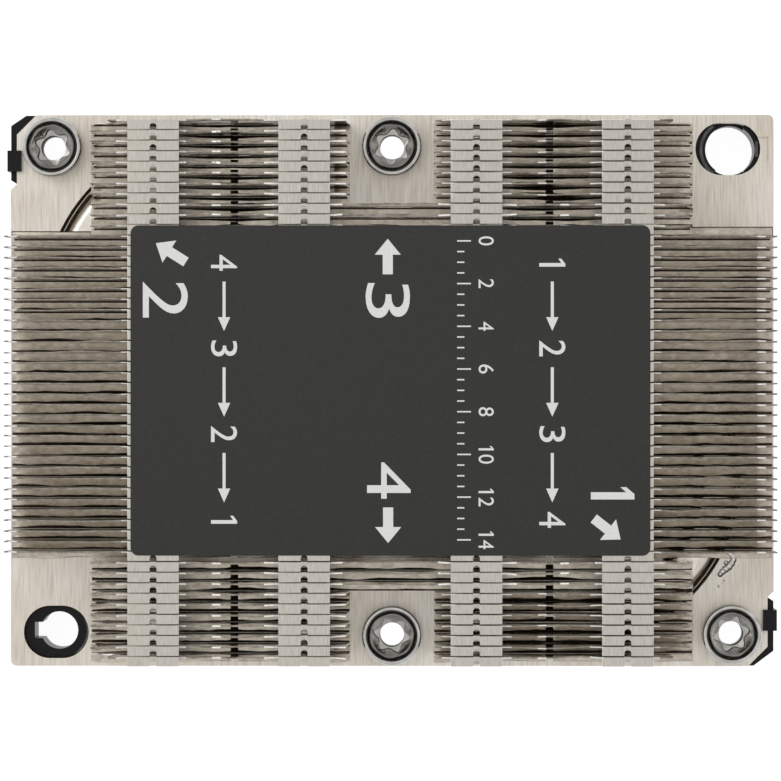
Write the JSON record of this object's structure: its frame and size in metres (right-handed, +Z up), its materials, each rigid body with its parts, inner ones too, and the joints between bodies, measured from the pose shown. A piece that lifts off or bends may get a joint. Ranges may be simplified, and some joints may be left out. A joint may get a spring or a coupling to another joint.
{
  "type": "passive server cpu heatsink",
  "caption": "Low passive heatsink with a zipper-fin stack on a plated base, captive nuts, buried heat pipes and a plastic package carrier.",
  "frame": {"origin": "centre of the footprint, on the plane that the package carrier rests on", "axes": "+X along the fins and the air flow, +Z up from the processor through the base to the fin tops"},
  "size_m": [0.1088, 0.078, 0.0282],
  "materials": {
    "nickel_plate": "brushed, nickel plated",
    "pipe_metal": "satin, nickel plated",
    "fin_metal": "satin, nickel plated",
    "nut_steel": "bright, plated",
    "clip_steel": "spring steel",
    "label_film": "matte film with white print",
    "carrier_plastic": "moulded, black"
  },
  "bodies": {
    "heatsink": {"base_plate": "nickel_plate", "heat_pipe_left": "pipe_metal", "heat_pipe_right": "pipe_metal", "fins_upper_left": "fin_metal", "fins_upper_right": "fin_metal", "fins_lower_left": "fin_metal", "fins_lower_right": "fin_metal", "fin_row_08": "fin_metal", "fin_row_09": "fin_metal", "fin_row_10": "fin_metal", "fin_row_42": "fin_metal", "fin_row_43": "fin_metal", "fin_row_44": "fin_metal", "fin_row_11": "fin_metal", "fin_row_12": "fin_metal", "fin_row_13": "fin_metal", "fin_row_14": "fin_metal", "fin_row_15": "fin_metal", "fin_row_16": "fin_metal", "fin_row_17": "fin_metal", "fin_row_18": "fin_metal", "fin_row_19": "fin_metal", "fin_row_20": "fin_metal", "fin_row_21": "fin_metal", "fin_row_22": "fin_metal", "fin_row_23": "fin_metal", "fin_row_24": "fin_metal", "fin_row_25": "fin_metal", "fin_row_26": "fin_metal", "fin_row_27": "fin_metal", "fin_row_28": "fin_metal", "fin_row_29": "fin_metal", "fin_row_30": "fin_metal", "fin_row_31": "fin_metal", "fin_row_32": "fin_metal", "fin_row_33": "fin_metal", "fin_row_34": "fin_metal", "fin_row_35": "fin_metal", "fin_row_36": "fin_metal", "fin_row_37": "fin_metal", "fin_row_38": "fin_metal", "fin_row_39": "fin_metal", "fin_row_40": "fin_metal", "fin_row_41": "fin_metal", "label": "label_film", "package_carrier": "carrier_plastic"},
    "nut_1": {"captive_nut_1": "nut_steel", "retaining_clip_1": "clip_steel"},
    "nut_2": {"captive_nut_2": "nut_steel", "retaining_clip_2": "clip_steel"},
    "nut_3": {"captive_nut_3": "nut_steel", "retaining_clip_3": "clip_steel"},
    "nut_4": {"captive_nut_4": "nut_steel", "retaining_clip_4": "clip_steel"}
  },
  "joints": [
    {"name": "nut_1_turn", "type": "hinge", "parent": "heatsink", "child": "nut_1", "pos_m": [0.048, -0.0344, 0.0062], "axis": [0, 0, 1], "continuous": true},
    {"name": "nut_2_turn", "type": "hinge", "parent": "heatsink", "child": "nut_2", "pos_m": [-0.048, 0.0344, 0.0062], "axis": [0, 0, 1], "continuous": true},
    {"name": "nut_3_turn", "type": "hinge", "parent": "heatsink", "child": "nut_3", "pos_m": [0, 0.0345, 0.0062], "axis": [0, 0, 1], "continuous": true},
    {"name": "nut_4_turn", "type": "hinge", "parent": "heatsink", "child": "nut_4", "pos_m": [0, -0.0346, 0.0062], "axis": [0, 0, 1], "continuous": true}
  ]
}
